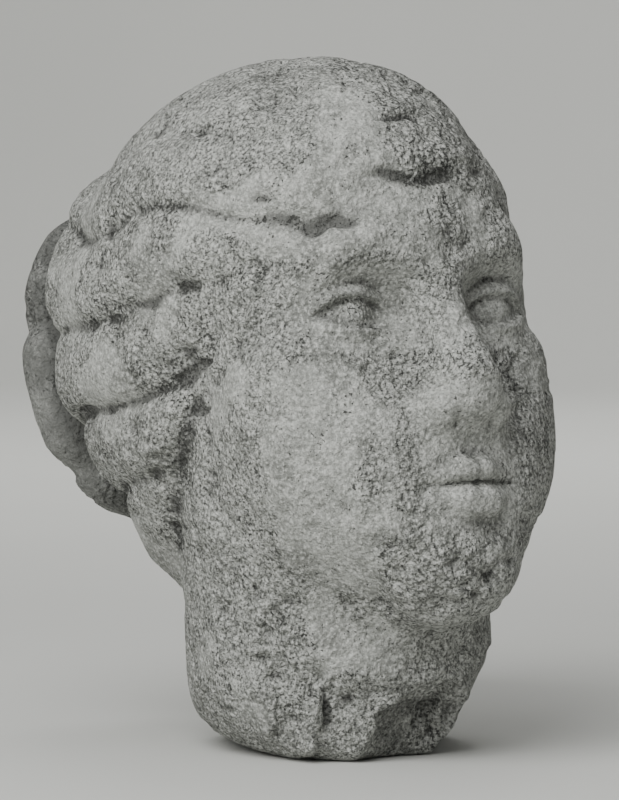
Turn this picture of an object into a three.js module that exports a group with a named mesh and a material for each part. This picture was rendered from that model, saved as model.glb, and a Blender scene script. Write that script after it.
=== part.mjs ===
// A life-size carved stone head on a broken-off neck, with waved hair drawn back over the ears to a broad
// chignon. It stands on the flat foot of its neck and looks towards -Y and up a little. Its own left is +X.
import * as THREE from 'three';

// Driving sizes in millimetres and degrees.
const HEAD_HEIGHT = 236; // chin to crown, square to the eye line
const HEAD_LIFT = 156; // foot to the point between the ears, at eye level
const HEAD_SET_BACK = 23; // that point behind the middle of the foot
const HEAD_PITCH = 14; // how far the face looks up
const NECK_HALF_WIDTH = 60;
const NECK_HALF_DEPTH = 64;
const NECK_FOOT_FORWARD = 2; // middle of the neck at the foot, towards the face
const NECK_LEAN = 0.08; // how far the neck goes back for each millimetre up
const NECK_TOP = 140; // the neck ends inside the head
const NECK_JOIN = 14; // roundness where the neck runs into the jaw and nape

// Breaks of the foot. They lie in directions turned from the face's: ACROSS to the head's left, NEAR to
// its front.
const BREAK_TURN = -33;
const CORNER_SLOPE = 62; // the lost front left corner, from upright
const CORNER_REACH = 36.5;
const SCOOP_ACROSS = 60;
const SCOOP_NEAR = 62;
const SCOOP_RADII = [52, 34, 36];
const CHIP_NEAR = 55.5; // the flat flake's depth, its edge and its height
const CHIP_ACROSS = -6;
const CHIP_HEIGHT = 28;
const CHIP_RISE = 0.1;
const CHIP_BEVEL = 0.9;
const FOOT_EDGE = 10; // roundness of the foot's edge
const WORN_EDGE = 24; // how much rounder it is at the worn front right
const BREAK_SOFTNESS = 3;

// Fineness of the surface.
const CROWN_CELLS = 22; // along each side of the square patch on the crown; four times as many go around
const ROWS = 49; // rows of cells from that patch down to the foot
const FACE_FOCUS = 0.55; // how much the columns crowd together on the face

// Smooth joins and cuts of distances, each rounded over the width k.
function join(a, b, k) {
  const h = Math.max(k - Math.abs(a - b), 0) / k;
  return Math.min(a, b) - (h * h * k) / 4;
}

function keepBoth(a, b, k) {
  return -join(-a, -b, k);
}

function cutAway(a, b, k) {
  return keepBoth(a, -b, k);
}

// Distance from a point to an ellipsoid.
function ball([x, y, z], [cx, cy, cz], [rx, ry, rz]) {
  const near = Math.hypot((x - cx) / rx, (y - cy) / ry, (z - cz) / rz);
  const steep = Math.hypot((x - cx) / (rx * rx), (y - cy) / (ry * ry), (z - cz) / (rz * rz));
  return (near * (near - 1)) / Math.max(steep, 1e-6);
}

// Distance to a round bar from a to b, of radius ra at a and rb at b.
function bar([x, y, z], [ax, ay, az], [bx, by, bz], ra, rb) {
  const [dx, dy, dz] = [bx - ax, by - ay, bz - az];
  const along = ((x - ax) * dx + (y - ay) * dy + (z - az) * dz) / (dx * dx + dy * dy + dz * dz);
  const t = THREE.MathUtils.clamp(along, 0, 1);
  return Math.hypot(x - ax - t * dx, y - ay - t * dy, z - az - t * dz) - (ra + (rb - ra) * t);
}

function bump(x, at, width) {
  return Math.exp(-(((x - at) / width) ** 2));
}

function ramp(x, low, high) {
  return THREE.MathUtils.smoothstep(x, low, high);
}

// All shares below are of HEAD_HEIGHT, in the head's own frame: x to its left, y back, z up, from the point
// between the ears.
// x is folded onto one side, so both sides of the face and hair are alike.

// A round mass has its middle and half sizes, a long one its ends and their radii. Its softness is the width
// over which it joins the masses before it.
const SKULL = { at: [0, 0.01, 0.14], half: [0.315, 0.42, 0.335] };
const FACE_MASSES = {
  oval: { at: [0, -0.12, -0.13], half: [0.285, 0.285, 0.355], soft: 0.08 },
  forehead: { at: [0, -0.105, 0.13], half: [0.262, 0.31, 0.25], soft: 0.06 },
  jaw: { from: [0.185, -0.03, -0.29], to: [0.02, -0.325, -0.42], radii: [0.07, 0.06], soft: 0.09 },
  chin: { at: [0, -0.318, -0.42], half: [0.105, 0.098, 0.085], soft: 0.11 },
  cheekbone: { at: [0.19, -0.235, -0.08], half: [0.09, 0.11, 0.08], soft: 0.08 },
  cheek: { at: [0.13, -0.24, -0.22], half: [0.14, 0.135, 0.16], soft: 0.1 },
  brow: { from: [0, -0.375, 0.075], to: [0.14, -0.345, 0.105], radii: [0.035, 0.035], soft: 0.09 },
  browEnd: { from: [0.14, -0.345, 0.105], to: [0.235, -0.235, 0.055], radii: [0.035, 0.03], soft: 0.09 },
};
// These are cut away under the brow.
const SOCKET = { at: [0.142, -0.447, -0.002], half: [0.095, 0.094, 0.064], soft: 0.045 };
const INNER_CORNER = { at: [0.07, -0.425, -0.002], half: [0.022, 0.045, 0.04], soft: 0.04 };

const NOSE_MASSES = {
  bridge: { from: [0, -0.375, 0.085], to: [0, -0.468, -0.14], radii: [0.036, 0.038], soft: 0.03 },
  body: { at: [0, -0.405, -0.135], half: [0.06, 0.075, 0.085], soft: 0.04 },
  tip: { at: [0, -0.478, -0.16], half: [0.04, 0.04, 0.036], soft: 0.03 },
  wing: { at: [0.047, -0.436, -0.174], half: [0.028, 0.044, 0.03], soft: 0.02 },
};
const WORN_TIP = { reach: 0.503, slant: 0.25, level: -0.16, soft: 0.014 };

const MUZZLE = { at: [0, -0.335, -0.285], half: [0.15, 0.085, 0.125], soft: 0.1 };
const LIPS = {
  upper: { from: [0.009, -0.427, -0.281], to: [0.084, -0.414, -0.3], radii: [0.029, 0.01], soft: 0.018 },
  lower: { from: [0, -0.424, -0.336], to: [0.064, -0.414, -0.32], radii: [0.034, 0.014], soft: 0.014 },
};
const LIP_BEND = 2; // the lips curve back at the sides
const MOUTH = { level: -0.3055, halfWidth: 0.104, curve: 0.35, dip: 0.004 };
const LIP_LINE = { depth: 0.018, width: 0.014 };
const CHIN_LINE = { depth: 0.014, level: -0.382, acrossWidth: 0.075, upWidth: 0.022 };
const PHILTRUM = { depth: 0.005, level: -0.24, acrossWidth: 0.018, upWidth: 0.022 };

const EYE = [0.137, -0.312, -0.006];
const EYEBALL = 0.0595;
const LID = 0.071; // the lids' outer radius
const LID_EDGE = 0.012; // roundness of the lids' edges
const EYE_HALF_WIDTH = 0.072;
const EYE_SLANT = 0.06;
const UPPER_LID_RISE = 0.034;
const LOWER_LID_DROP = 0.023;

// Joins masses one after another to the form whose distance at p is d.
function gather(d, p, masses) {
  return Object.values(masses).reduce((sum, { at, half, from, to, radii, soft }) => {
    return join(sum, half ? ball(p, at, half) : bar(p, from, to, ...radii), soft);
  }, d);
}

function eye([x, y, z]) {
  const [ex, ey, ez] = [x - EYE[0], y - EYE[1], z - EYE[2]];
  const r = Math.hypot(ex, ey, ez);
  const arch = Math.max(1 - (ex / EYE_HALF_WIDTH) ** 2, -1);
  const slant = EYE_SLANT * ex;
  const opening = Math.max(ez - UPPER_LID_RISE * arch - slant, slant - LOWER_LID_DROP * arch - ez);
  return join(r - EYEBALL, cutAway(r - LID, opening, LID_EDGE), 0.003);
}

function nose(d, p) {
  const worn = -p[1] - WORN_TIP.reach - WORN_TIP.slant * (p[2] - WORN_TIP.level);
  return keepBoth(gather(d, p, NOSE_MASSES), worn, WORN_TIP.soft);
}

function mouth(d, p) {
  const [x, y, z] = p;
  return gather(gather(d, p, { MUZZLE }), [x, y - LIP_BEND * x * x, z], LIPS);
}

// Lines cut into the front of the face: between the lips, over the chin and under the nose.
function faceLines([x, y, z]) {
  const level = MOUTH.level + MOUTH.curve * x * x - MOUTH.dip * bump(x, 0, 0.02);
  const between = Math.exp(-Math.abs(z - level) / LIP_LINE.width);
  const lips = LIP_LINE.depth * between * ramp(-x, -MOUTH.halfWidth, -0.07);
  const [chin, philtrum] = [CHIN_LINE, PHILTRUM].map((line) => {
    return line.depth * bump(x, 0, line.acrossWidth) * bump(z, line.level, line.upWidth);
  });
  return ramp(-y, 0.25, 0.35) * (lips + chin + philtrum);
}

function face(p) {
  let d = gather(ball(p, SKULL.at, SKULL.half), p, FACE_MASSES);
  [SOCKET, INNER_CORNER].forEach(({ at, half, soft }) => {
    d = cutAway(d, ball(p, at, half), soft);
  });
  d = mouth(nose(d, p), p);
  return join(d, eye(p), 0.012) + faceLines(p);
}

const CAP = { at: [0, 0, 0.155], half: [0.358, 0.445, 0.352] };
const HAIR_MASSES = {
  overEar: { at: [0.18, 0.13, 0.05], half: [0.18, 0.24, 0.25], soft: 0.06 },
  lowestBand: { at: [0.215, 0.06, -0.09], half: [0.125, 0.24, 0.18], soft: 0.06 },
  nape: { at: [0.1, 0.19, -0.23], half: [0.15, 0.15, 0.13], soft: 0.08 },
  collar: { at: [0.12, 0.28, 0.08], half: [0.21, 0.17, 0.3], soft: 0.06 },
  collarTop: { at: [0, 0.31, 0.22], half: [0.28, 0.14, 0.2], soft: 0.08 },
};

// Troughs between the hair's bands, which run from the face back to the chignon, each with its level at the
// ear, its slope, its depth and the height of its wave.
const TROUGHS = [
  { level: 0.365, slope: 0.1, depth: 0.008, wave: 0.02 },
  { level: 0.235, slope: 0.16, depth: 0.017, wave: 0.022 },
  { level: 0.088, slope: 0.04, depth: 0.022, wave: 0.008 },
  { level: -0.05, slope: -0.04, depth: 0.028, wave: 0.012 },
  { level: -0.188, slope: 0, depth: 0.02, wave: 0.006 },
];
const WAVE_TURNS = 14; // radians of wave for a share of 1 along the band
const WAVE_STEP = 0.05; // how much further forward each lower trough's wave lies
const BAND_UNDERSIDE = 0.026; // each band drops steeply to the trough below it
const BAND_SLOPE = 0.05; // and rises gently from the one above

function troughDepth([x, y, z]) {
  let sink = 0;
  TROUGHS.forEach(({ level, slope, depth, wave }, i) => {
    const line = level + slope * y + wave * Math.cos(WAVE_TURNS * (y + WAVE_STEP * (i + 1)));
    const above = z - line;
    const fade = above > 0 ? above / BAND_UNDERSIDE : -above / BAND_SLOPE;
    sink = Math.max(sink, depth * Math.exp(-fade));
  });
  return sink * ramp(x, 0.04, 0.22);
}

// The hair's front edge slants from the forehead down over the ears, and draws back a little at the temple.
const EDGE_SLOPE = 0.914;
const EDGE_DROP = 0.16; // the edge's level below the eyes' at the ears
const TEMPLE = -0.2;
const TEMPLE_DEPTH = 0.03;
const TEMPLE_WIDTH = 0.07;

// Negative on the hair's side of that edge.
function hairEdge([, y, z]) {
  const below = -(z + EDGE_SLOPE * y + EDGE_DROP) / Math.hypot(1, EDGE_SLOPE);
  return below + TEMPLE_DEPTH * bump(y, TEMPLE, TEMPLE_WIDTH);
}

function hair(p) {
  const d = gather(ball(p, CAP.at, CAP.half), p, HAIR_MASSES);
  return keepBoth(d + troughDepth(p), hairEdge(p), 0.035);
}

// The chignon: a flattened knot with twisted grooves and a hollow middle.
const CHIGNON = [0, 0.405, 0.085];
const CHIGNON_RADII = [0.315, 0.155, 0.31];
const CHIGNON_CORNERS = 0.06; // how far its corners stand out beyond an oval's
const CHIGNON_GROOVES = 7;
const CHIGNON_TWIST = 5; // radians that a groove turns from the middle to the rim
const GROOVE_DEPTH = 0.012;
const GROOVE_SHARPNESS = 0.25;
const CHIGNON_HOLLOW = 0.03;
const HOLLOW_WIDTH = 0.22;

function chignon(p) {
  const turn = Math.atan2(p[2] - CHIGNON[2], p[0] - CHIGNON[0]);
  const square = 1 + CHIGNON_CORNERS * Math.sin(2 * turn) ** 2;
  const across = (p[0] - CHIGNON[0]) / square;
  const up = (p[2] - CHIGNON[2]) / square;
  const out = Math.hypot(across / CHIGNON_RADII[0], up / CHIGNON_RADII[2]);
  const wave = Math.cos(CHIGNON_GROOVES * turn + CHIGNON_TWIST * out);
  const groove = GROOVE_DEPTH * Math.exp((wave - 1) / GROOVE_SHARPNESS) * ramp(out, 0.15, 0.45);
  const knot = ball([across, p[1] - CHIGNON[1], up], [0, 0, 0], CHIGNON_RADII);
  return knot + groove + CHIGNON_HOLLOW * bump(out, 0, HOLLOW_WIDTH);
}

const SEAM_DEPTH = 0.018;
const SEAM_WIDTH = 0.045;
const KNOT_JOIN = 0.03;
// The hair over the left temple is worn to a plane, square to this direction.
const WORN_TEMPLE = [0.65, -0.65, 0.39];
const WORN_REACH = 0.447;

function head(p) {
  const folded = [Math.abs(p[0]), p[1], p[2]];
  const whole = join(face(folded), hair(folded), 0.03);
  const worn = WORN_TEMPLE[0] * p[0] + WORN_TEMPLE[1] * p[1] + WORN_TEMPLE[2] * p[2] - WORN_REACH;
  const rest = keepBoth(whole, worn, 0.05);
  const knot = chignon(p);
  return join(rest, knot, KNOT_JOIN) + SEAM_DEPTH * bump(rest - knot, 0, SEAM_WIDTH);
}

// The neck, in millimetres, with its breaks and worn edge.
function neck([x, y, z]) {
  const middle = NECK_LEAN * z - NECK_FOOT_FORWARD;
  const out = Math.hypot(x / NECK_HALF_WIDTH, (y - middle) / NECK_HALF_DEPTH);
  let d = (out - 1) * Math.min(NECK_HALF_WIDTH, NECK_HALF_DEPTH);
  d = keepBoth(d, z - NECK_TOP, 2 * NECK_JOIN);
  const turn = THREE.MathUtils.degToRad(BREAK_TURN);
  const across = x * Math.cos(turn) + y * Math.sin(turn);
  const near = x * Math.sin(turn) - y * Math.cos(turn);
  const slope = THREE.MathUtils.degToRad(CORNER_SLOPE);
  const corner = Math.sin(slope) * across - Math.cos(slope) * z - CORNER_REACH;
  d = keepBoth(d, corner, BREAK_SOFTNESS);
  d = cutAway(d, ball([across, near, z], [SCOOP_ACROSS, SCOOP_NEAR, 0], SCOOP_RADII), BREAK_SOFTNESS);
  const deep = CHIP_BEVEL * (near - CHIP_NEAR);
  const size = Math.hypot(1, CHIP_BEVEL);
  const side = (CHIP_ACROSS - across - deep) / size;
  const top = (z - CHIP_HEIGHT - CHIP_RISE * across - deep) / size;
  d = cutAway(d, Math.max(side, top, CHIP_NEAR - near), BREAK_SOFTNESS);
  const worn = ramp(-across, -0.2 * NECK_HALF_WIDTH, 0.75 * NECK_HALF_WIDTH);
  const front = ramp(near, -0.75 * NECK_HALF_DEPTH, 0.15 * NECK_HALF_DEPTH);
  return keepBoth(d, -z, FOOT_EDGE + WORN_EDGE * worn * front);
}

// A point in millimetres, standing on z = 0, in the head's own frame.
function inHead([x, y, z]) {
  const pitch = THREE.MathUtils.degToRad(HEAD_PITCH);
  const [c, s] = [Math.cos(pitch), Math.sin(pitch)];
  const [back, up] = [y - HEAD_SET_BACK, z - HEAD_LIFT];
  return [x / HEAD_HEIGHT, (back * c - up * s) / HEAD_HEIGHT, (back * s + up * c) / HEAD_HEIGHT];
}

// The whole head, in millimetres.
function carving(p) {
  return join(head(inHead(p)) * HEAD_HEIGHT, neck(p), NECK_JOIN);
}

// The surface is found along rays towards a line through the neck and head. Each key gives the line's point
// at a share of the way from the foot to the crown patch: back as a share of the head's height, and neckUp
// as a share of the neck's, or up as a share of the head's from between the ears. With it go the ray's
// elevation in degrees, how much of the pitch it leans with, and how far the point slides back for rays
// behind the head.
const KEYS = [
  { share: 0, back: 0, neckUp: 0, elevation: 0, lean: 0, slide: 0 },
  { share: 0.08, back: 0.008, neckUp: 0.26, elevation: -10, lean: 0, slide: 0 },
  { share: 0.16, back: 0.025, up: -0.33, elevation: -28, lean: 0.2, slide: 0 },
  { share: 0.22, back: 0.042, up: -0.26, elevation: -32, lean: 0.4, slide: 0 },
  { share: 0.3, back: 0.059, up: -0.186, elevation: -32, lean: 0.85, slide: 0.03 },
  { share: 0.42, back: 0.068, up: -0.136, elevation: -20, lean: 1, slide: 0.19 },
  { share: 0.54, back: 0.068, up: -0.025, elevation: -22, lean: 1, slide: 0.318 },
  { share: 0.68, back: 0.068, up: 0.038, elevation: -10, lean: 1, slide: 0.36 },
  { share: 0.82, back: 0.068, up: 0.051, elevation: 12, lean: 1, slide: 0.339 },
  { share: 1, back: 0.11, up: 0.051, elevation: 46, lean: 1, slide: 0.17 },
];
const CROWN = KEYS[KEYS.length - 1];

function keyHeight(key) {
  return key.up === undefined ? key.neckUp * HEAD_LIFT : HEAD_LIFT + key.up * HEAD_HEIGHT;
}

function keyAt(share) {
  const next = Math.max(1, KEYS.findIndex((key) => key.share >= share));
  const [a, b] = [KEYS[next - 1], KEYS[next]];
  const t = (share - a.share) / (b.share - a.share);
  const mix = (from, to) => from + (to - from) * t;
  return {
    back: mix(a.back, b.back) * HEAD_HEIGHT,
    height: mix(keyHeight(a), keyHeight(b)),
    elevation: mix(a.elevation, b.elevation),
    lean: mix(a.lean, b.lean) * HEAD_PITCH,
    slide: mix(a.slide, b.slide) * HEAD_HEIGHT,
  };
}

const START = 1.1 * (HEAD_HEIGHT + NECK_HALF_DEPTH); // where a ray starts, well outside
const SLIDE_FROM = 15; // the point slides back between these turns from the face
const SLIDE_TO = 100;
const LONG_STEPS = 16;
const STEPS = 32;

function surfacePoint(azimuth, { back, height, elevation, lean, slide }) {
  const [e, l] = [THREE.MathUtils.degToRad(elevation), THREE.MathUtils.degToRad(lean)];
  const [fore, rise] = [-Math.cos(azimuth) * Math.cos(e), Math.sin(e)];
  const ray = [
    Math.sin(azimuth) * Math.cos(e),
    fore * Math.cos(l) + rise * Math.sin(l),
    rise * Math.cos(l) - fore * Math.sin(l),
  ];
  const behind = ramp(THREE.MathUtils.radToDeg(Math.abs(azimuth)), SLIDE_FROM, SLIDE_TO);
  const from = [0, back + slide * behind, height];
  const at = (t) => from.map((value, i) => value + ray[i] * t);
  let t = START;
  for (let i = 0; i < STEPS; i++) {
    t -= (i < LONG_STEPS ? 0.8 : 0.4) * carving(at(t));
  }
  return at(t);
}

function crowded(azimuth) {
  return azimuth - FACE_FOCUS * Math.sin(azimuth);
}

// The patch on the crown is a square grid bent to a round one, so that it has no pole.
function crownPoint(i, j) {
  const [s, t] = [(2 * i) / CROWN_CELLS - 1, (2 * j) / CROWN_CELLS - 1];
  const [u, v] = [s * Math.sqrt(1 - (t * t) / 2), t * Math.sqrt(1 - (s * s) / 2)];
  const out = Math.hypot(u, v);
  const azimuth = Math.atan2(v, u);
  const key = keyAt(1);
  key.elevation = 90 - out * (90 - CROWN.elevation);
  key.slide *= out;
  return { azimuth, point: surfacePoint(crowded(azimuth), key) };
}

// A few rounds even out the cells: each point goes part of the way to the middle of its neighbours, at most
// half, and then back onto the form.
const ROUNDS = 16;
const FACE_ROUNDS = 2; // after these the face keeps its own finer cells
const PROBE = 0.4; // how far apart the distances are read for the slope of the form

// How freely a point moves once the face is settled: 0 on the face, 1 behind it and under the chin.
function looseness(point) {
  const [, y, z] = inHead(point);
  return Math.max(ramp(y, -0.12, 0.08), ramp(-z, 0.42, 0.5));
}

function ontoForm(point) {
  let p = point;
  for (let i = 0; i < 3; i++) {
    const d = carving(p);
    const slope = p.map((value, axis) => (carving(p.with(axis, value + PROBE)) - d) / PROBE);
    const steepness = Math.max(slope[0] ** 2 + slope[1] ** 2 + slope[2] ** 2, 0.25);
    p = p.map((value, axis) => value - (0.9 * d * slope[axis]) / steepness);
  }
  return p;
}

function evenOut(points, quads, fixed) {
  const neighbours = points.map(() => new Set());
  quads.forEach((quad) => {
    quad.forEach((a, i) => {
      const b = quad[(i + 1) % 4];
      neighbours[a].add(b);
      neighbours[b].add(a);
    });
  });
  let settled = points;
  for (let round = 0; round < ROUNDS; round++) {
    settled = settled.map((point, i) => {
      const share = round < FACE_ROUNDS ? 0.5 : 0.5 * looseness(point);
      if (fixed.has(i) || share === 0) {
        return point;
      }
      const around = [...neighbours[i]].map((k) => settled[k]);
      const moved = point.map((value, axis) => {
        const mean = around.reduce((sum, other) => sum + other[axis], 0) / around.length;
        return value + share * (mean - value);
      });
      return ontoForm(moved);
    });
  }
  return settled;
}

function apart(p, q) {
  return Math.hypot(p[0] - q[0], p[1] - q[1], p[2] - q[2]);
}

function carvedGeometry() {
  const points = [];
  const quads = [];
  const n = CROWN_CELLS;
  const azimuths = [];
  for (let i = 0; i <= n; i++) {
    for (let j = 0; j <= n; j++) {
      const { azimuth, point } = crownPoint(i, j);
      points.push(point);
      azimuths.push(azimuth);
    }
  }
  const cell = (i, j) => i * (n + 1) + j;
  for (let i = 0; i < n; i++) {
    for (let j = 0; j < n; j++) {
      quads.push([cell(i, j), cell(i + 1, j), cell(i + 1, j + 1), cell(i, j + 1)]);
    }
  }
  const side = [...Array(n).keys()];
  const rim = [
    ...side.map((i) => cell(i, 0)),
    ...side.map((i) => cell(n, i)),
    ...side.map((i) => cell(n - i, n)),
    ...side.map((i) => cell(0, n - i)),
  ];
  const around = rim.map((index) => azimuths[index]);
  let ring = rim;
  for (let row = 1; row <= ROWS; row++) {
    const key = keyAt(1 - row / ROWS);
    const next = around.map((azimuth) => points.push(surfacePoint(crowded(azimuth), key)) - 1);
    next.forEach((index, i) => {
      const k = (i + 1) % next.length;
      quads.push([ring[k], ring[i], index, next[k]]);
    });
    ring = next;
  }
  const settled = evenOut(points, quads, new Set(ring));
  // each cell is split along its shorter diagonal
  const triangles = quads.flatMap(([a, b, c, d]) => {
    const first = apart(settled[a], settled[c]) < apart(settled[b], settled[d]);
    return first ? [a, b, c, a, c, d] : [b, c, d, b, d, a];
  });
  const foot = settled.push([0, -NECK_FOOT_FORWARD, 0]) - 1;
  ring.forEach((index, i) => triangles.push(index, foot, ring[(i + 1) % ring.length]));
  const geometry = new THREE.BufferGeometry();
  geometry.setAttribute('position', new THREE.Float32BufferAttribute(settled.flat(), 3));
  geometry.setIndex(triangles);
  geometry.computeVertexNormals();
  return geometry;
}

const stone = new THREE.MeshStandardMaterial({ color: 0x8f918b, roughness: 0.95, metalness: 0 });
const carvedHead = new THREE.Mesh(carvedGeometry(), stone);
carvedHead.name = 'carved_head';

const model = new THREE.Group();
model.add(carvedHead);

export default model;
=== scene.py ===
"""Finish of a weathered carved stone head: its fine carving, its stone, and a plain studio around it.

Everything is in metres in the part's own frame: the head looks towards -Y, its own left is +X, and it
stands on z = 0. The fine mesh follows the same form as the solid that it replaces."""
import math
import bpy
import numpy as np
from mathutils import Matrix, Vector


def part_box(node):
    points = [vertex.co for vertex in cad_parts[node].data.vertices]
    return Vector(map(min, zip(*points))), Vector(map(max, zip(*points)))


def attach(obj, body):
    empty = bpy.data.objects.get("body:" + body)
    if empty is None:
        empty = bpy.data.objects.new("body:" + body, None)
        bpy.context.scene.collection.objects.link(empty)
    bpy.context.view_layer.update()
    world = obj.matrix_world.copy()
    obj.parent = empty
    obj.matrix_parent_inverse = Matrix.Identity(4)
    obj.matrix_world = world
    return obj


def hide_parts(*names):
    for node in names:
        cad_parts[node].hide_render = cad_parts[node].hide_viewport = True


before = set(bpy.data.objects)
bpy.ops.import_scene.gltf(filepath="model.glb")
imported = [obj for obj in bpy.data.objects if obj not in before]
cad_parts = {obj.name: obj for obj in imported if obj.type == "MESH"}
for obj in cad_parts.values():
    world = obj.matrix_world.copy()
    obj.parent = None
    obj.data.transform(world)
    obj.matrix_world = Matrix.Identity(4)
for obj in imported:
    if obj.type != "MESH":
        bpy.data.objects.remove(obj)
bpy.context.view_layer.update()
low, high = (np.array(corner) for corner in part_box("carved_head"))

MM = (high[2] - low[2]) / 276  # the solid is 276 of these tall; sizes below are multiples of it
HEAD_HEIGHT = 236 * MM  # chin to crown, square to the eye line
HEAD_LIFT = 156 * MM  # foot to the point between the ears, at eye level
HEAD_SET_BACK = 23 * MM
HEAD_PITCH = math.radians(14)
NECK_HALF_WIDTH = 60 * MM
NECK_HALF_DEPTH = 64 * MM
NECK_FOOT_FORWARD = 2 * MM
NECK_LEAN = 0.08
NECK_TOP = 140 * MM
NECK_JOIN = 14 * MM
CROWN_CELLS = 95  # along each side of the square patch on the crown; four times as many go around
ROWS = 234  # rows of cells from that patch down to the foot
FACE_FOCUS = 0.55  # how much closer the columns stand on the face than on the back
EVEN_ROUNDS = 10  # rounds of evening out the cells


def join(a, b, k):
    """The form that is inside either a or b, rounded over a width of k where they meet."""
    h = np.maximum(k - np.abs(a - b), 0) / k
    return np.minimum(a, b) - h * h * k / 4


def keep_both(a, b, k):
    """The form that is inside both."""
    return -join(-a, -b, k)


def cut_away(a, b, k):
    """The form a without b."""
    return keep_both(a, -b, k)


def ball(p, centre, radii):
    """Distance from an oval."""
    q = p - np.array(centre, np.float32)[:, None]
    r = np.array(radii, np.float32)[:, None]
    near = np.sqrt(((q / r) ** 2).sum(0))
    steep = np.sqrt(((q / (r * r)) ** 2).sum(0))
    return near * (near - 1) / np.maximum(steep, 1e-6)


def bar(p, a, b, ra, rb):
    """Distance from a tapered bar with round ends."""
    a = np.array(a, np.float32)[:, None]
    run = np.array(b, np.float32)[:, None] - a
    t = np.clip(((p - a) * run).sum(0) / (run * run).sum(), 0, 1)
    return np.sqrt(((p - a - t * run) ** 2).sum(0)) - (ra + (rb - ra) * t)


def bump(x, at, width):
    """1 at that place, falling softly to 0 on both sides."""
    return np.exp(-(((x - at) / width) ** 2))


def ramp(x, low, high):
    """0 up to low, rising softly to 1 at high."""
    t = np.clip((x - low) / (high - low), 0, 1)
    return t * t * (3 - 2 * t)


def mirrored(p):
    """Both sides of the head folded onto its left one."""
    return np.stack([np.abs(p[0]), p[1], p[2]])


# Masses of the head's form, as shares of its height: a round one has its middle, half sizes and how softly
# it joins the rest; a long one has its two ends, its radius at each and the same.
SKULL = ((0, 0.01, 0.14), (0.315, 0.42, 0.335))
FACE_MASSES = (
    ((0, -0.12, -0.13), (0.285, 0.285, 0.355), 0.08),  # oval of the face
    ((0, -0.105, 0.13), (0.262, 0.31, 0.25), 0.06),  # forehead
    ((0.185, -0.03, -0.29), (0.02, -0.325, -0.42), 0.07, 0.06, 0.09),  # jaw
    ((0, -0.318, -0.42), (0.105, 0.098, 0.085), 0.11),  # chin
    ((0.19, -0.235, -0.08), (0.09, 0.11, 0.08), 0.08),  # cheekbone
    ((0.13, -0.24, -0.22), (0.14, 0.135, 0.16), 0.1),  # cheek
    ((0, -0.375, 0.075), (0.14, -0.345, 0.105), 0.035, 0.035, 0.09),  # brow
    ((0.14, -0.345, 0.105), (0.235, -0.235, 0.055), 0.035, 0.03, 0.09),  # brow's outer end
)
SOCKET = ((0.142, -0.444, 0.006), (0.097, 0.1, 0.064))
SOCKET_SOFTNESS = 0.026
INNER_CORNER = ((0.068, -0.422, 0.0), (0.02, 0.045, 0.034))
CORNER_SOFTNESS = 0.03
NOSE_MASSES = (
    ((0, -0.375, 0.085), (0, -0.468, -0.14), 0.036, 0.038, 0.03),  # bridge
    ((0, -0.405, -0.135), (0.06, 0.075, 0.085), 0.04),  # body
    ((0, -0.478, -0.16), (0.04, 0.04, 0.036), 0.03),  # tip
    ((0.052, -0.43, -0.178), (0.028, 0.048, 0.029), 0.018),  # wing
)
NOSTRIL = ((0.034, -0.452, -0.211), (0.012, 0.03, 0.015))
TIP_WEAR = 0.503
TIP_SLANT = 0.25
TIP_LEVEL = -0.16
NOSTRIL_EDGE = 0.01
TIP_EDGE = 0.014
MUZZLE = ((0, -0.335, -0.285), (0.15, 0.085, 0.125), 0.1)
LIPS = (
    ((0.016, -0.438, -0.284), (0.094, -0.414, -0.303), 0.026, 0.009, 0.011),
    ((0.016, -0.436, -0.334), (0.08, -0.417, -0.315), 0.031, 0.011, 0.011),
)
LIP_BEND = 2  # the lips curve back at the sides
EYE = (0.137, -0.312, -0.006)
EYEBALL = 0.0585
LID = 0.0775
LID_EDGE = 0.005
LID_JOIN = 0.003
EYE_JOIN = 0.008
EYE_HALF_WIDTH = 0.075
EYE_SLANT = 0.06
UPPER_LID_RISE = 0.029
LOWER_LID_DROP = 0.026
MOUTH_LEVEL = -0.3055
MOUTH_HALF_WIDTH = 0.104
MOUTH_CURVE = 0.35
LIP_LINE = 0.012
LIP_LINE_WIDTH = 0.009
LIP_DIP = 0.004
LIP_DIP_WIDTH = 0.02
CHIN_LINE = 0.009
CHIN_LINE_LEVEL = -0.382
CHIN_LINE_HEIGHT = 0.024
CHIN_LINE_WIDTH = 0.075
PHILTRUM = 0.005
PHILTRUM_LEVEL = -0.24
PHILTRUM_HEIGHT = 0.022
PHILTRUM_WIDTH = 0.018


def gather(d, p, masses):
    """The form d with the masses joined to it."""
    for mass in masses:
        shape = bar if len(mass) == 5 else ball
        d = join(d, shape(p, *mass[:-1]), mass[-1])
    return d


def eye(p):
    """Distance from an eye with its lids."""
    ex, ey, ez = p - np.array(EYE, np.float32)[:, None]
    r = np.sqrt(ex**2 + ey**2 + ez**2)
    arch = np.maximum(1 - (ex / EYE_HALF_WIDTH) ** 2, -1)
    slant = EYE_SLANT * ex
    opening = np.maximum(ez - UPPER_LID_RISE * arch - slant, slant - LOWER_LID_DROP * arch - ez)
    return join(r - EYEBALL, cut_away(r - LID, opening, LID_EDGE), LID_JOIN)


def nose(d, p):
    """The form d with the nose, its tip worn flat."""
    d = cut_away(gather(d, p, NOSE_MASSES), ball(p, *NOSTRIL), NOSTRIL_EDGE)
    return keep_both(d, -p[1] - TIP_WEAR - TIP_SLANT * (p[2] - TIP_LEVEL), TIP_EDGE)


def mouth(d, p):
    """The form d with the swell round the mouth and the lips."""
    bent = np.stack([p[0], p[1] - LIP_BEND * p[0] ** 2, p[2]])
    return gather(gather(d, p, (MUZZLE,)), bent, LIPS)


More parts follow.
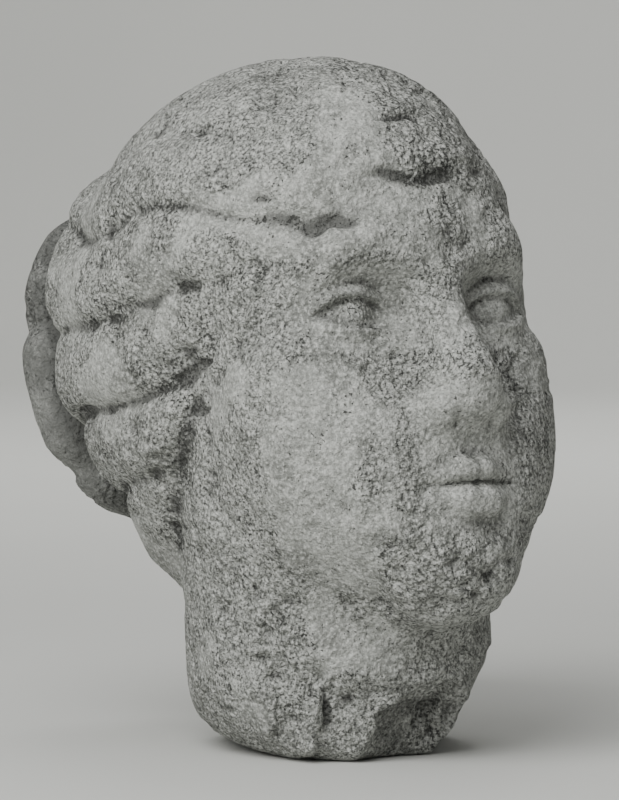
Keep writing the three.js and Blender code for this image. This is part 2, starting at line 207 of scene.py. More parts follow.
def face_lines(p):
    """Lines cut into the front of the face: between the lips, over the chin and under the nose."""
    x, y, z = p
    level = MOUTH_LEVEL + MOUTH_CURVE * x * x - LIP_DIP * bump(x, 0, LIP_DIP_WIDTH)
    lips = LIP_LINE * np.exp(-np.abs(z - level) / LIP_LINE_WIDTH) * ramp(-x, -MOUTH_HALF_WIDTH, -0.07)
    chin = CHIN_LINE * bump(z, CHIN_LINE_LEVEL, CHIN_LINE_HEIGHT) * bump(x, 0, CHIN_LINE_WIDTH)
    philtrum = PHILTRUM * bump(x, 0, PHILTRUM_WIDTH) * bump(z, PHILTRUM_LEVEL, PHILTRUM_HEIGHT)
    return ramp(-y, 0.25, 0.35) * (lips + chin + philtrum)


def face(p):
    """Distance from the skull and the face, on the folded head."""
    d = gather(ball(p, *SKULL), p, FACE_MASSES)
    d = cut_away(d, ball(p, *SOCKET), SOCKET_SOFTNESS)
    d = cut_away(d, ball(p, *INNER_CORNER), CORNER_SOFTNESS)
    d = mouth(nose(d, p), p)
    return join(d, eye(p), EYE_JOIN) + face_lines(p)


# Troughs between the hair's bands, which run from the face back to the chignon: level at the ear, slope,
# depth and height of the wave.
TROUGHS = (
    (0.365, 0.1, 0.008, 0.02),
    (0.235, 0.16, 0.017, 0.022),
    (0.088, 0.04, 0.022, 0.008),
    (-0.05, -0.04, 0.028, 0.012),
    (-0.188, 0, 0.02, 0.006),
)
WAVE_TURNS = 14
WAVE_STEP = 0.05
BAND_UNDERSIDE = 0.026
BAND_SLOPE = 0.05


def trough_lines(y):
    """The level of each trough's bottom at those places from front to back, and its depth."""
    for i, (level, slope, depth, wave) in enumerate(TROUGHS):
        yield level + slope * y + wave * np.cos(WAVE_TURNS * (y + WAVE_STEP * (i + 1))), depth


def trough_depth(p):
    """How far the hair's surface sinks into its troughs."""
    x, y, z = p
    sink = np.zeros_like(z)
    for line, depth in trough_lines(y):
        above = z - line
        fade = np.where(above > 0, above / BAND_UNDERSIDE, -above / BAND_SLOPE)
        sink = np.maximum(sink, depth * np.exp(-fade))
    return sink * ramp(x, 0.04, 0.22)


EDGE_SLOPE = 0.914
EDGE_DROP = 0.16
TEMPLE = -0.2
TEMPLE_DEPTH = 0.03
TEMPLE_WIDTH = 0.07
HAIR_EDGE_SOFTNESS = 0.035


def hair_edge(p):
    """Negative on the hair's side of its front edge, which slants from the forehead down over the ears."""
    x, y, z = p
    below = -(z + EDGE_SLOPE * y + EDGE_DROP) / math.hypot(1, EDGE_SLOPE)
    return below + TEMPLE_DEPTH * bump(y, TEMPLE, TEMPLE_WIDTH)


CAP = ((0, 0, 0.155), (0.358, 0.445, 0.352))
HAIR_MASSES = (
    ((0.18, 0.13, 0.05), (0.18, 0.24, 0.25), 0.06),  # bands over the ear
    ((0.215, 0.06, -0.09), (0.125, 0.24, 0.18), 0.06),  # lowest band
    ((0.1, 0.19, -0.23), (0.15, 0.15, 0.13), 0.08),  # nape
    ((0.12, 0.28, 0.08), (0.21, 0.17, 0.3), 0.06),  # collar before the chignon
    ((0, 0.31, 0.22), (0.28, 0.14, 0.2), 0.08),  # its top
)


def hair(p):
    """Distance from the hair without the chignon, on the folded head."""
    d = gather(ball(p, *CAP), p, HAIR_MASSES)
    return keep_both(d + trough_depth(p), hair_edge(p), HAIR_EDGE_SOFTNESS)


CHIGNON = (0, 0.405, 0.085)
CHIGNON_RADII = (0.315, 0.155, 0.31)
CHIGNON_CORNERS = 0.06  # how far its corners stand out beyond an oval
CHIGNON_GROOVES = 7
CHIGNON_TWIST = 5
GROOVE_DEPTH = 0.012
GROOVE_SHARPNESS = 0.25
CHIGNON_HOLLOW = 0.03
HOLLOW_WIDTH = 0.22


def chignon(p):
    """Distance from the chignon."""
    across = p[0] - CHIGNON[0]
    up = p[2] - CHIGNON[2]
    turn = np.arctan2(up, across)
    square = 1 + CHIGNON_CORNERS * np.sin(2 * turn) ** 2
    across, up = across / square, up / square
    out = np.hypot(across / CHIGNON_RADII[0], up / CHIGNON_RADII[2])
    wave = np.cos(CHIGNON_GROOVES * turn + CHIGNON_TWIST * out)
    groove = GROOVE_DEPTH * np.exp((wave - 1) / GROOVE_SHARPNESS) * ramp(out, 0.15, 0.45)
    knot = ball(np.stack([across, p[1] - CHIGNON[1], up]), (0, 0, 0), CHIGNON_RADII)
    return knot + groove + CHIGNON_HOLLOW * bump(out, 0, HOLLOW_WIDTH)


HAIR_JOIN = 0.03
SEAM_DEPTH = 0.018
SEAM_WIDTH = 0.045
KNOT_JOIN = 0.03
WORN_TEMPLE = (0.65, -0.65, 0.39)  # the hair is worn flat over the left temple, square to this
WORN_REACH = 0.447
WORN_SOFTNESS = 0.05


def without_chignon(p):
    """Distance from the face and hair."""
    folded = mirrored(p)
    return join(face(folded), hair(folded), HAIR_JOIN)


def head(p):
    """Distance from the head, in its own frame."""
    rest = without_chignon(p)
    worn = (p * np.array(WORN_TEMPLE, np.float32)[:, None]).sum(0) - WORN_REACH
    rest = keep_both(rest, worn, WORN_SOFTNESS)
    knot = chignon(p)
    return join(rest, knot, KNOT_JOIN) + SEAM_DEPTH * bump(rest - knot, 0, SEAM_WIDTH)


BREAK_TURN = math.radians(-33)  # breaks of the foot lie in directions turned from the face's
CORNER_SLOPE = math.radians(62)
CORNER_REACH = 36.5 * MM
SCOOP = (60 * MM, 62 * MM, 0)
SCOOP_RADII = (52 * MM, 34 * MM, 36 * MM)
CHIP_NEAR = 55.5 * MM
CHIP_ACROSS = -6 * MM
CHIP_HEIGHT = 26 * MM
CHIP_RISE = 0.1
CHIP_BEVEL = 1.4
SIDE_BEVEL = 0.3
FOOT_EDGE = 10 * MM
WORN_EDGE = 24 * MM
BREAK_SOFTNESS = 2.4 * MM


def broken_frame(p):
    """Places across and nearer than the middle of the foot, in the breaks' own directions."""
    x, y = p[:2]
    c, s = math.cos(BREAK_TURN), math.sin(BREAK_TURN)
    return x * c + y * s, x * s - y * c


def neck(p):
    """Distance from the broken neck, in the part's frame."""
    x, y, z = p
    middle = NECK_LEAN * z - NECK_FOOT_FORWARD
    out = np.hypot(x / NECK_HALF_WIDTH, (y - middle) / NECK_HALF_DEPTH)
    d = (out - 1) * min(NECK_HALF_WIDTH, NECK_HALF_DEPTH)
    d = keep_both(d, z - NECK_TOP, 2 * NECK_JOIN)
    across, near = broken_frame(p)
    corner = math.sin(CORNER_SLOPE) * across - math.cos(CORNER_SLOPE) * z - CORNER_REACH
    d = keep_both(d, corner, BREAK_SOFTNESS)
    d = cut_away(d, ball(np.stack([across, near, z]), SCOOP, SCOOP_RADII), BREAK_SOFTNESS)
    deep = CHIP_BEVEL * (near - CHIP_NEAR)
    size = math.hypot(1, CHIP_BEVEL)
    side = CHIP_ACROSS - across - SIDE_BEVEL * (near - CHIP_NEAR)
    top = (z - CHIP_HEIGHT - CHIP_RISE * across - deep) / size
    d = cut_away(d, np.maximum(np.maximum(side, top), CHIP_NEAR - near), BREAK_SOFTNESS)
    worn = ramp(-across, -0.2 * NECK_HALF_WIDTH, 0.75 * NECK_HALF_WIDTH)
    front = ramp(near, -0.75 * NECK_HALF_DEPTH, 0.15 * NECK_HALF_DEPTH)
    return keep_both(d, -z, FOOT_EDGE + WORN_EDGE * worn * front)


def own(p):
    """Points in the head's own frame, as shares of its height."""
    c, s = math.cos(HEAD_PITCH), math.sin(HEAD_PITCH)
    back, up = p[1] - HEAD_SET_BACK, p[2] - HEAD_LIFT
    return np.stack([p[0], back * c - up * s, back * s + up * c]) / HEAD_HEIGHT


def carving(p):
    """Distance from the whole form, in the part's frame."""
    return join(head(own(p)) * HEAD_HEIGHT, neck(p), NECK_JOIN)


# The rays' keys from the foot up: share of the way, how far back, height (two as shares of the head's lift,
# the others from between the ears), elevation in degrees, share of the head's pitch, and slide to the back
KEYS = (
    (0, 0, 0, 0, 0, 0),
    (0.08, 0.008, 0.26, -10, 0, 0),
    (0.16, 0.025, -0.33, -28, 0.2, 0),
    (0.22, 0.042, -0.26, -32, 0.4, 0),
    (0.3, 0.059, -0.186, -32, 0.85, 0.03),
    (0.42, 0.068, -0.136, -20, 1, 0.19),
    (0.54, 0.068, -0.025, -22, 1, 0.318),
    (0.68, 0.068, 0.038, -10, 1, 0.36),
    (0.82, 0.068, 0.051, 12, 1, 0.339),
    (1, 0.11, 0.051, 46, 1, 0.17),
)
FACE_ROUNDS = 2
SLIDE_FROM = math.radians(15)
SLIDE_TO = math.radians(100)


def key_table():
    """The keys in metres and radians."""
    table = np.array(KEYS, float)
    table[:2, 2] *= HEAD_LIFT
    table[2:, 2] = HEAD_LIFT + table[2:, 2] * HEAD_HEIGHT
    table[:, [1, 5]] *= HEAD_HEIGHT
    table[:, 3] = np.radians(table[:, 3])
    table[:, 4] *= HEAD_PITCH
    return table


def rays(azimuth, back, height, elevation, lean, slide):
    """Starts and directions of the rays at those azimuths."""
    fore, rise = -np.cos(azimuth) * np.cos(elevation), np.sin(elevation) + 0 * azimuth
    c, s = np.cos(lean), np.sin(lean)
    ray = np.stack([np.sin(azimuth) * np.cos(elevation), fore * c + rise * s, rise * c - fore * s])
    turned = np.abs((azimuth + math.pi) % (2 * math.pi) - math.pi)
    behind = ramp(turned, SLIDE_FROM, SLIDE_TO)
    start = np.stack([0 * azimuth, back + slide * behind, height + 0 * azimuth])
    return start, ray


def crowded(azimuth):
    """Azimuths moved closer together on the face."""
    return azimuth - FACE_FOCUS * np.sin(azimuth)


def grid(n, m):
    """Starts and directions of the rays, the cells between them and the last ring."""
    table = key_table()
    s = np.linspace(-1, 1, n + 1)
    s, t = np.meshgrid(s, s, indexing="ij")
    u, v = s * np.sqrt(1 - t * t / 2), t * np.sqrt(1 - s * s / 2)
    out = np.hypot(u, v).ravel()
    turn = np.arctan2(v, u).ravel()
    crown = table[-1]
    elevation = math.pi / 2 - out * (math.pi / 2 - crown[3])
    starts, directions = rays(crowded(turn), crown[1], crown[2], elevation, crown[4], crown[5] * out)
    cell = np.arange((n + 1) ** 2).reshape(n + 1, n + 1)
    quads = [np.stack([cell[:-1, :-1], cell[1:, :-1], cell[1:, 1:], cell[:-1, 1:]], 2).reshape(-1, 4)]
    rim = np.concatenate([cell[:-1, 0], cell[-1, :-1], cell[:0:-1, -1], cell[0, :0:-1]])
    around = crowded(turn[rim])
    columns = len(rim)
    share = 1 - np.arange(1, m + 1) / m
    keys = [np.interp(share, table[:, 0], table[:, i])[:, None] + 0 * around for i in range(1, 6)]
    more_starts, more_directions = rays(np.tile(around, (m, 1)), *keys)
    starts = np.concatenate([starts, more_starts.reshape(3, -1)], 1).astype(np.float32)
    directions = np.concatenate([directions, more_directions.reshape(3, -1)], 1).astype(np.float32)
    rows = np.concatenate([rim[None], (n + 1) ** 2 + np.arange(m * columns).reshape(m, columns)])
    ring, low = rows[:-1], rows[1:]
    side = [np.roll(ring, -1, 1), ring, low, np.roll(low, -1, 1)]
    quads.append(np.stack(side, 2).reshape(-1, 4))
    return starts, directions, np.concatenate(quads), rows[-1]


FAST_STEPS = 16
FAST_STEP = 0.8
SLOW_STEP = 0.4


def cast(starts, directions, form, reach, steps=40):
    """Where the rays meet the form, found from outside."""
    t = np.full(starts.shape[1], reach, np.float32)
    for i in range(steps):
        t = t - (FAST_STEP if i < FAST_STEPS else SLOW_STEP) * form(starts + directions * t)
    return starts + directions * t


def onto_form(points, form, probe, rounds=3):
    """The points moved along the form's slope until they lie on it."""
    for _ in range(rounds):
        d = form(points)
        slope = np.empty_like(points)
        for axis in range(3):
            beside = points.copy()
            beside[axis] += probe
            slope[axis] = (form(beside) - d) / probe
        steepness = np.maximum((slope**2).sum(0), 0.25)
        points = points - 0.9 * d * slope / steepness
    return points


def looseness(points):
    """How far points may move when the cells are evened out: the face keeps its own finer cells."""
    x, y, z = own(points)
    return np.maximum(ramp(y, -0.12, 0.08), ramp(-z, 0.42, 0.5))


def even_out(points, quads, fixed, form, rounds, probe):
    """Moves the points over the form to even out the cells."""
    a = quads.ravel()
    b = np.roll(quads, -1, 1).ravel()
    first = np.concatenate([a, b])
    second = np.concatenate([b, a])
    pairs = np.unique(first.astype(np.int64) * points.shape[1] + second)
    first, second = pairs // points.shape[1], pairs % points.shape[1]
    count = np.bincount(first, minlength=points.shape[1])
    for turn in range(rounds):
        beside = [np.bincount(first, points[axis][second], points.shape[1]) for axis in range(3)]
        mean = (np.stack(beside) / count).astype(np.float32)
        share = 0.5 * (looseness(points) if turn >= FACE_ROUNDS else np.ones(points.shape[1]))
        share = share.astype(np.float32)
        share[fixed] = 0
        free = np.flatnonzero(share > 0)
        halfway = points[:, free] + (mean[:, free] - points[:, free]) * share[free]
        points = points.copy()
        points[:, free] = onto_form(halfway, form, probe)
    return points


# Weathering. Random lattices give smooth noise and scattered pits, each with its own seed.

LATTICE = np.random.default_rng(7).random(4096, dtype=np.float32)
PRIMES = (73856093, 19349663, 83492791)


def lattice(cell, seed):
    """A random number from 0 to 1 for each cell."""
    mixed = (cell[0] * PRIMES[0]) ^ (cell[1] * PRIMES[1]) ^ (cell[2] * PRIMES[2])
    return LATTICE[(mixed + 977 * seed) & 4095]


def noise(p, size, seed):
    """Smooth noise from -1 to 1 with lumps about one size across."""
    q = p / size + 31.7 * seed
    cell = np.floor(q).astype(np.int64)
    t = q - cell
    t = t * t * (3 - 2 * t)
    total = 0
    for i in (0, 1):
        for j in (0, 1):
            for k in (0, 1):
                corner = np.array((i, j, k))[:, None]
                weight = np.abs(1 - corner - t).prod(0)
                total = total + weight * lattice(cell + corner, seed)
    return 2 * total - 1


def layers(p, size, count, seed):
    """Noise in several sizes, each half the one before."""
    total = 0
    for i in range(count):
        total = total + noise(p, size / 2**i, seed + i) / 2**i
    return total


def pits(p, spacing, radius, seed):
    """1 in the middle of scattered pits of about that radius, 0 between them."""
    q = p / spacing
    cell = np.floor(q).astype(np.int64)
    deepest = np.zeros(p.shape[1])
    for i in (-1, 0, 1):
        for j in (-1, 0, 1):
            for k in (-1, 0, 1):
                near = cell + np.array((i, j, k))[:, None]
                centre = near + np.stack([lattice(near, seed + axis) for axis in range(3)])
                size = radius / spacing * (0.4 + lattice(near, seed + 3))
                away = np.sqrt(((q - centre) ** 2).sum(0)) / size
                deepest = np.maximum(deepest, np.clip(1 - away, 0, 1))
    return deepest * deepest * (3 - 2 * deepest)


def normals(points, quads):
    """Unit normals of the points, from the cells around them."""
    v = points.T
    across = np.cross(v[quads[:, 2]] - v[quads[:, 0]], v[quads[:, 3]] - v[quads[:, 1]])
    total = np.stack([
        np.bincount(quads.ravel(), np.repeat(across[:, axis], 4), points.shape[1]) for axis in range(3)
    ])
    return total / np.maximum(np.sqrt((total**2).sum(0)), 1e-12)


def hair_share(p):
    """1 on the hair and chignon, 0 on the face and neck."""
    on_hair = ramp(-hair_edge(mirrored(p)), -0.01, 0.02)
    above_neck = ramp(p[2], -0.36, -0.3)
    on_chignon = ramp(p[2] + 0.9 * p[1], -0.16, -0.1) * ramp(p[1], 0.3, 0.36)
    return np.maximum(on_hair * above_neck, on_chignon)


# Small dents worn or knocked into the hair and the cheeks: middle in the head's frame, half sizes, depth in
# millimetres.
DENTS = (
    ((-0.18, -0.39, 0.147), (0.058, 0.07, 0.021), 7.0),  # under the lock over the forehead
    ((-0.235, -0.335, 0.168), (0.03, 0.05, 0.016), 2.6),
    ((-0.25, -0.31, 0.2), (0.03, 0.04, 0.012), 2.2),
    ((-0.06, -0.42, 0.214), (0.045, 0.04, 0.014), 3.0),
    ((0.035, -0.42, 0.216), (0.04, 0.04, 0.013), 3.2),
    ((0.12, -0.41, 0.226), (0.035, 0.04, 0.015), 2.6),
    ((0.2, -0.37, 0.18), (0.025, 0.05, 0.03), 2.4),
    ((-0.02, -0.395, 0.322), (0.055, 0.04, 0.01), 2.2),
    ((-0.313, -0.065, -0.03), (0.05, 0.07, 0.034), 2.4),  # where the locks meet the cheek
    ((-0.303, 0.06, -0.187), (0.05, 0.034, 0.014), 1.8),
    ((-0.243, 0.1, -0.284), (0.05, 0.016, 0.026), 2.4),
    ((-0.27, 0.2, -0.224), (0.06, 0.036, 0.014), 1.6),
    ((-0.282, -0.1, -0.225), (0.06, 0.05, 0.04), 0.9),
    ((-0.285, 0.352, 0.105), (0.04, 0.02, 0.04), 1.8),  # along the chignon's seam
    ((-0.26, 0.372, 0.225), (0.04, 0.018, 0.06), 2.2),
    ((-0.26, 0.37, -0.066), (0.04, 0.018, 0.06), 2.0),
)
DENT_WANDER = 0.012  # how far their edges stray
DENT_STEEPNESS = 1.4
WIDE_STRAND = 0.0186  # from one thick strand of hair to the next
STRAND_WANDER = 0.9  # in turns of wave
PARTING_WIDTH = 0.007
PARTING_FOOT = 0.178  # how far to the right of the middle it starts, over the forehead
PARTING_LEAN = 0.13  # how far it comes back towards the middle on its way up
WORST_TROUGH = 0.028  # depth of the trough whose crease is the deepest
CREASE_WIDTH = 0.011
SEAM_CREASE_WIDTH = 0.016

# Depths of the relief, in millimetres
STRAND_DEPTH = 0.5
PARTING_DEPTH = 0.8
TROUGH_CREASE = 2.2
SEAM_CREASE = 3.4
NECK_STEP = 3.2
NECK_LEDGE = 2.6
SMALL_PIT = 0.6
LOST_FLAKE = 1.5
EVEN_WEAR = 0.4
SLOW_WEAR = 0.6
LUMPS = ((11, 1.0, 5), (6.5, 0.8, 6), (3.8, 0.7, 9))  # each with its size, depth and seed
CREASE_DIRT_AND_SHADE = 0.24  # dirt and painted shade for each millimetre of a crease or dent, beside that of its hollow

# How rough the relief is on the face, how much more on the hair and neck, and how much less where carving
# or old surface is kept
FACE_WEAR = 0.95
HAIR_WEAR = 0.05
NECK_WEAR = 0.2
CARVING_KEPT = 0.85
SURFACE_KEPT = 0.55
CREASE_CALM = 0.2  # the rest of the relief is that much quieter for each millimetre of a crease
EYE_AREA = (0.14, 0.1, 0.075)  # middle, half width and half height
MOUTH_AREA = (0.26, 0.11, 0.13)  # how far below the eyes, half width and half height

# Where the breaks on the neck lie, in millimetres across the foot and up
LEDGE_START = 13
LEDGE_LEVEL = 21
LEDGE_LEVEL_AT = 14
LEDGE_SLOPE = 0.26
LEDGE_BEND_START = 41
LEDGE_BEND = 0.025
STEP_START = -28.5


def strand_reach(q):
    """How plainly the strands beside the chignon's rim show: most on the lowest locks."""
    away = chignon(q)
    on_lock = ramp(-hair_edge(mirrored(q)), 0.0, 0.03) * ramp(away, 0.0, 0.012)
    low_lock = ramp(-q[2], 0.04, 0.09)
    wide = low_lock * ramp(-away, -0.26, -0.1)
    narrow = 0.5 * (1 - low_lock) * ramp(-away, -0.1, -0.03)
    return on_lock * (wide + narrow)


def strand_turn(q):
    """Turns of wave across the strands, which run beside the rim."""
    return 2 * math.pi * chignon(q) / WIDE_STRAND + STRAND_WANDER * noise(q, 0.12, 31)


def parting(q):
    """The faint line where the hair parts over the right side of the forehead."""
    x, y, z = q
    line = bump(x + PARTING_FOOT - PARTING_LEAN * ramp(z, 0.2, 0.45), 0, PARTING_WIDTH)
    return line * ramp(z, 0.17, 0.22) * ramp(-y, 0.2, 0.3)


def creases(q):
    """Deep broken lines along the troughs and the chignon's seam, in millimetres."""
    folded = mirrored(q)
    x, y, z = folded
    wander = 0.008 * noise(q, 0.07, 61) + 0.006 * noise(q, 0.024, 62)
    deepest = np.zeros(q.shape[1])
    for line, depth in trough_lines(y):
        share = (depth / WORST_TROUGH) ** 2
        deepest = np.maximum(deepest, share * bump(z - line + wander, 0.002, CREASE_WIDTH))
    on_hair = ramp(-hair_edge(folded), 0.0, 0.06) * ramp(x, 0.14, 0.32) * ramp(chignon(q), 0.0, 0.02)
    broken = ramp(noise(q, 0.13, 63) + 0.4 * noise(q, 0.04, 64), -0.3, 0.45)
    troughs = TROUGH_CREASE * (0.3 + 0.7 * broken) * deepest * on_hair
    seam = bump(past_seam(q) + wander, 0.0, SEAM_CREASE_WIDTH)
    return np.maximum(troughs, SEAM_CREASE * (0.5 + 0.5 * broken) * seam)


def past_seam(q):
    """How much nearer the chignon's form is than the rest of the head's: 0 along its seam."""
    return without_chignon(q) - chignon(q)


def ledge(p):
    """1 on the large flake lost from the neck's front left, below its crisp upper edge."""
    across, near = (value / MM for value in broken_frame(p))
    wander = 1.2 * noise(p, 9 * MM, 42) + 0.5 * noise(p, 3.5 * MM, 43)
    bend = LEDGE_BEND * np.maximum(across - LEDGE_BEND_START, 0) ** 2
    edge = LEDGE_LEVEL + LEDGE_SLOPE * (across - LEDGE_LEVEL_AT) + bend
    below = ramp(edge + wander - p[2] / MM, 0, 1.6)
    return below * ramp(across + wander, LEDGE_START, LEDGE_START + 2.5) * ramp(near, -12, 4)


def neck_flakes(p):
    """Steps left in the front of the neck by the break, in millimetres."""
    across, near = (value / MM for value in broken_frame(p))
    z = p[2] / MM
    shifted = across + 2.5 * noise(p, 14 * MM, 41) + 0.8 * noise(p, 4 * MM, 44)
    step = ramp(shifted, STEP_START, STEP_START + 2) * ramp(-shifted, 5, 9)
    step = step * ramp(z, 5, 10) * ramp(-z, -42, -33) * ramp(near, 15, 30)
    return NECK_STEP * step + NECK_LEDGE * ledge(p)


def carved_part(q):
    """1 round the eyes, nose and mouth, which keep more of their carving than the rest."""
    x, y, z = mirrored(q)
    side, wide, tall = EYE_AREA
    eyes = ramp(-np.abs(x - side) / wide, -1.2, -0.7) * ramp(-np.abs(z) / tall, -1.2, -0.7)
    down, wide, tall = MOUTH_AREA
    middle = ramp(-x / wide, -1.2, -0.6) * ramp(-np.abs(z + down) / tall, -1.2, -0.7)
    return np.maximum(eyes, middle) * ramp(-y, 0.2, 0.3)


def freshness(p):
    """1 where the old smooth surface is left, 0 where it has weathered away."""
    return ramp(noise(p, 34 * MM, 51) + 0.5 * noise(p, 13 * MM, 52), 0.12, 0.55)


def dents(q):
    """Depth of the small dents, in millimetres."""
    strayed = q + DENT_WANDER * np.stack([noise(q, 0.04, 71), noise(q, 0.03, 72), noise(q, 0.03, 73)])
    depth = 0
    for middle, half, deep in DENTS:
        away = (((strayed - np.array(middle)[:, None]) / np.array(half)[:, None]) ** 2).sum(0)
        depth = depth + deep * np.exp(-away * DENT_STEEPNESS)
    return depth


def relief(p, q):
    """How far the weathered surface lies under the smooth one, for points p and in the head's frame q."""
    on_hair = hair_share(q)
    on_neck = ramp(-q[2] - 0.5 * q[1], 0.38, 0.5) * (1 - on_hair)
    kept = carved_part(q)
    rough = FACE_WEAR + HAIR_WEAR * on_hair + NECK_WEAR * on_neck
    rough = rough * (1 - CARVING_KEPT * kept) * (1 - SURFACE_KEPT * freshness(p))
    depth = EVEN_WEAR + SLOW_WEAR * layers(p, 30 * MM, 2, 1)
    for size, deep, seed in LUMPS:
        depth = depth + deep * noise(p, size * MM, seed)
    # flakes lost from the surface leave hollows with crisp rims
    lost = noise(p, 10 * MM, 23) + 0.45 * noise(p, 4 * MM, 24)
    depth = depth + LOST_FLAKE * ramp(lost, 0.28, 0.46) * ramp(noise(p, 32 * MM, 25), -0.3, 0.2)
    depth = np.maximum(depth, 0) * rough
    depth = depth + SMALL_PIT * pits(p, 5.5 * MM, 1.9 * MM, 15) * rough
    strands = strand_reach(q) * (0.5 + 0.5 * np.cos(strand_turn(q))) ** 2
    depth = depth + STRAND_DEPTH * strands + PARTING_DEPTH * parting(q) + neck_flakes(p)
    creased = creases(q)
    depth = depth * (1 - CREASE_CALM * np.minimum(creased, 2.5)) + creased
    return (depth + dents(q)) * MM


SMOOTHING_ROUNDS = 12
FOOT_FADE = 5 * MM  # the relief fades out over this height above the foot
BOX_INSET = 0.05 * MM  # the relief stays this far inside the solid's box


def hollowness(points, quads):
    """How far each point lies under the ones around it, in millimetres, smoothed over a few cells."""
    first = quads.ravel()
    second = np.roll(quads, -1, 1).ravel()
    a, b = np.concatenate([first, second]), np.concatenate([second, first])
    count = np.bincount(a, minlength=points.shape[1])
    wide = points
    for _ in range(SMOOTHING_ROUNDS):
        wide = np.stack([np.bincount(a, wide[axis][b], points.shape[1]) for axis in range(3)]) / count
    return ((wide - points) * normals(points, quads)).sum(0) / MM


def build_head():
    """The fine mesh of the whole head, as one piece."""
    starts, directions, quads, ring = grid(CROWN_CELLS, ROWS)
    points = cast(starts, directions, carving, 1.1 * (HEAD_HEIGHT + NECK_HALF_DEPTH))
    points = even_out(points, quads, ring, carving, EVEN_ROUNDS, 0.4 * MM)
    q = own(points)
    depth = relief(points, q) * ramp(points[2], 0, FOOT_FADE)
    points = points - normals(points, quads) * depth
    inner = np.clip(points.T, low + (BOX_INSET, BOX_INSET, 0), high - BOX_INSET)
    mesh = bpy.data.meshes.new("carved_stone")
    middle = len(inner)
    vertices = np.concatenate([inner, [(0, -NECK_FOOT_FORWARD, low[2])]])
    fan = [(int(a), middle, int(b)) for a, b in zip(ring, np.roll(ring, -1))]
    mesh.from_pydata(vertices.tolist(), [], quads.tolist() + fan)
    mesh.polygons.foreach_set("use_smooth", np.ones(len(mesh.polygons), bool))
    store_marks(mesh, points, quads, q)
    mesh.update()
    piece = bpy.data.objects.new("carved_stone", mesh)
    bpy.context.scene.collection.objects.link(piece)
    return piece


def store_marks(mesh, points, quads, q):
    """Keeps what the stone's colours need to know at each point; the last one is the middle of the foot."""
    kept = carved_part(q)
    past = past_seam(q)
    marks = {
        # how deep each point lies in a hollow, crease or dent: it drives the dirt and painted shade
        "sunk": hollowness(points, quads) * (1 - 0.35 * kept) + CREASE_DIRT_AND_SHADE * (creases(q) + dents(q)),
        "fresh": np.maximum(freshness(points), 0.75 * kept),
        "flaked": ledge(points),
        # painted shade over the chignon, most of all just past its seam
        "chignon_shade": ramp(past, -0.012, 0.006) * (0.6 + 0.6 * bump(past, 0.01, 0.05)),
        "strand_reach": strand_reach(q),
        "strand_turn": strand_turn(q),
    }
    for name, values in marks.items():
        attribute = mesh.attributes.new(name, "FLOAT", "POINT")
        attribute.data.foreach_set("value", np.append(values, 0).astype(np.float32))


# Stone: mottled grey with fine dark pits, whose darkness is painted shade, and darker with dirt and painted
# shade in the hollows.

class Nodes:
    """A material's node tree with short ways to add and link nodes."""

    def __init__(self, name):
        self.material = bpy.data.materials.new(name)
        self.material.use_nodes = True
        self.tree = self.material.node_tree
        self.shader = self.tree.nodes["Principled BSDF"]

    def add(self, kind, **settings):
        """A new node of that kind."""
        node = self.tree.nodes.new(kind)
        for key, value in settings.items():
            setattr(node, key, value)
        return node

    def link(self, source, target):
        self.tree.links.new(source, target)

    def noise(self, place, scale, detail=2.0, roughness=0.5):
        """Smooth noise from 0 to 1."""
        node = self.add("ShaderNodeTexNoise")
        node.inputs["Scale"].default_value = scale
        node.inputs["Detail"].default_value = detail
        node.inputs["Roughness"].default_value = roughness
        self.link(place, node.inputs["Vector"])
        return node.outputs["Fac"]

    def crumbs(self, place, scale):
        """0 in the middle of each crumb, rising to the gaps between them."""
        node = self.add("ShaderNodeTexVoronoi", feature="SMOOTH_F1")
        node.inputs["Scale"].default_value = scale
        node.inputs["Smoothness"].default_value = 0.35
        self.link(place, node.inputs["Vector"])
        return node.outputs["Distance"]

    def spread(self, value, low_in, high_in, low_out=0.0, high_out=1.0):
        """A soft ramp between two values."""
        node = self.add("ShaderNodeMapRange", interpolation_type="SMOOTHSTEP")
        limits = {"From Min": low_in, "From Max": high_in, "To Min": low_out, "To Max": high_out}
        for key, number in limits.items():
            node.inputs[key].default_value = number
        self.link(value, node.inputs["Value"])
        return node.outputs["Result"]

    def maths(self, operation, first, second):
        """Two numbers or sockets, worked on together."""
        node = self.add("ShaderNodeMath", operation=operation)
        for socket, value in zip(node.inputs, (first, second)):
            if isinstance(value, (int, float)):
                socket.default_value = value
            else:
                self.link(value, socket)
        return node.outputs["Value"]

    def scaled(self, value, factor):
        """A value times a number."""
        return self.maths("MULTIPLY", value, factor)

    def mark(self, name):
        """A value kept at each point of the mesh."""
        return self.add("ShaderNodeAttribute", attribute_name=name).outputs["Fac"]

    def mix(self, share, first, second):
        """A colour between two others, which are triples or sockets."""
        node = self.add("ShaderNodeMix", data_type="RGBA")
        self.link(share, node.inputs["Factor"])
        for socket, value in zip((node.inputs[6], node.inputs[7]), (first, second)):
            if isinstance(value, tuple):
                socket.default_value = (*value, 1)
            else:
                self.link(value, socket)
        return node.outputs[2]


# Colours of the stone
MIDDLE_PATCH = (0.23, 0.236, 0.217)
LIGHT_PATCH = (0.36, 0.368, 0.342)
MOTTLE = (0.52, 0.528, 0.495)
CRUMB = (0.66, 0.668, 0.63)
GAP = (0.075, 0.077, 0.071)
# painted shade inside the pits
PIT_SHADE = (0.045, 0.046, 0.042)
# dirt and painted shade in the hollows, creases and dents
DIRT_AND_SHADE = (0.07, 0.071, 0.066)
# darker tone: painted shade over the chignon, and the face of the large flake on the neck
DARKER_TONE = (0.1, 0.102, 0.095)
STRAND = (0.12, 0.122, 0.112)

# Scales of the stone's patterns: the larger, the finer
PATCH_SCALE = 26
CRUMBLY_SCALE = 45
CLUSTER_SCALE = 60
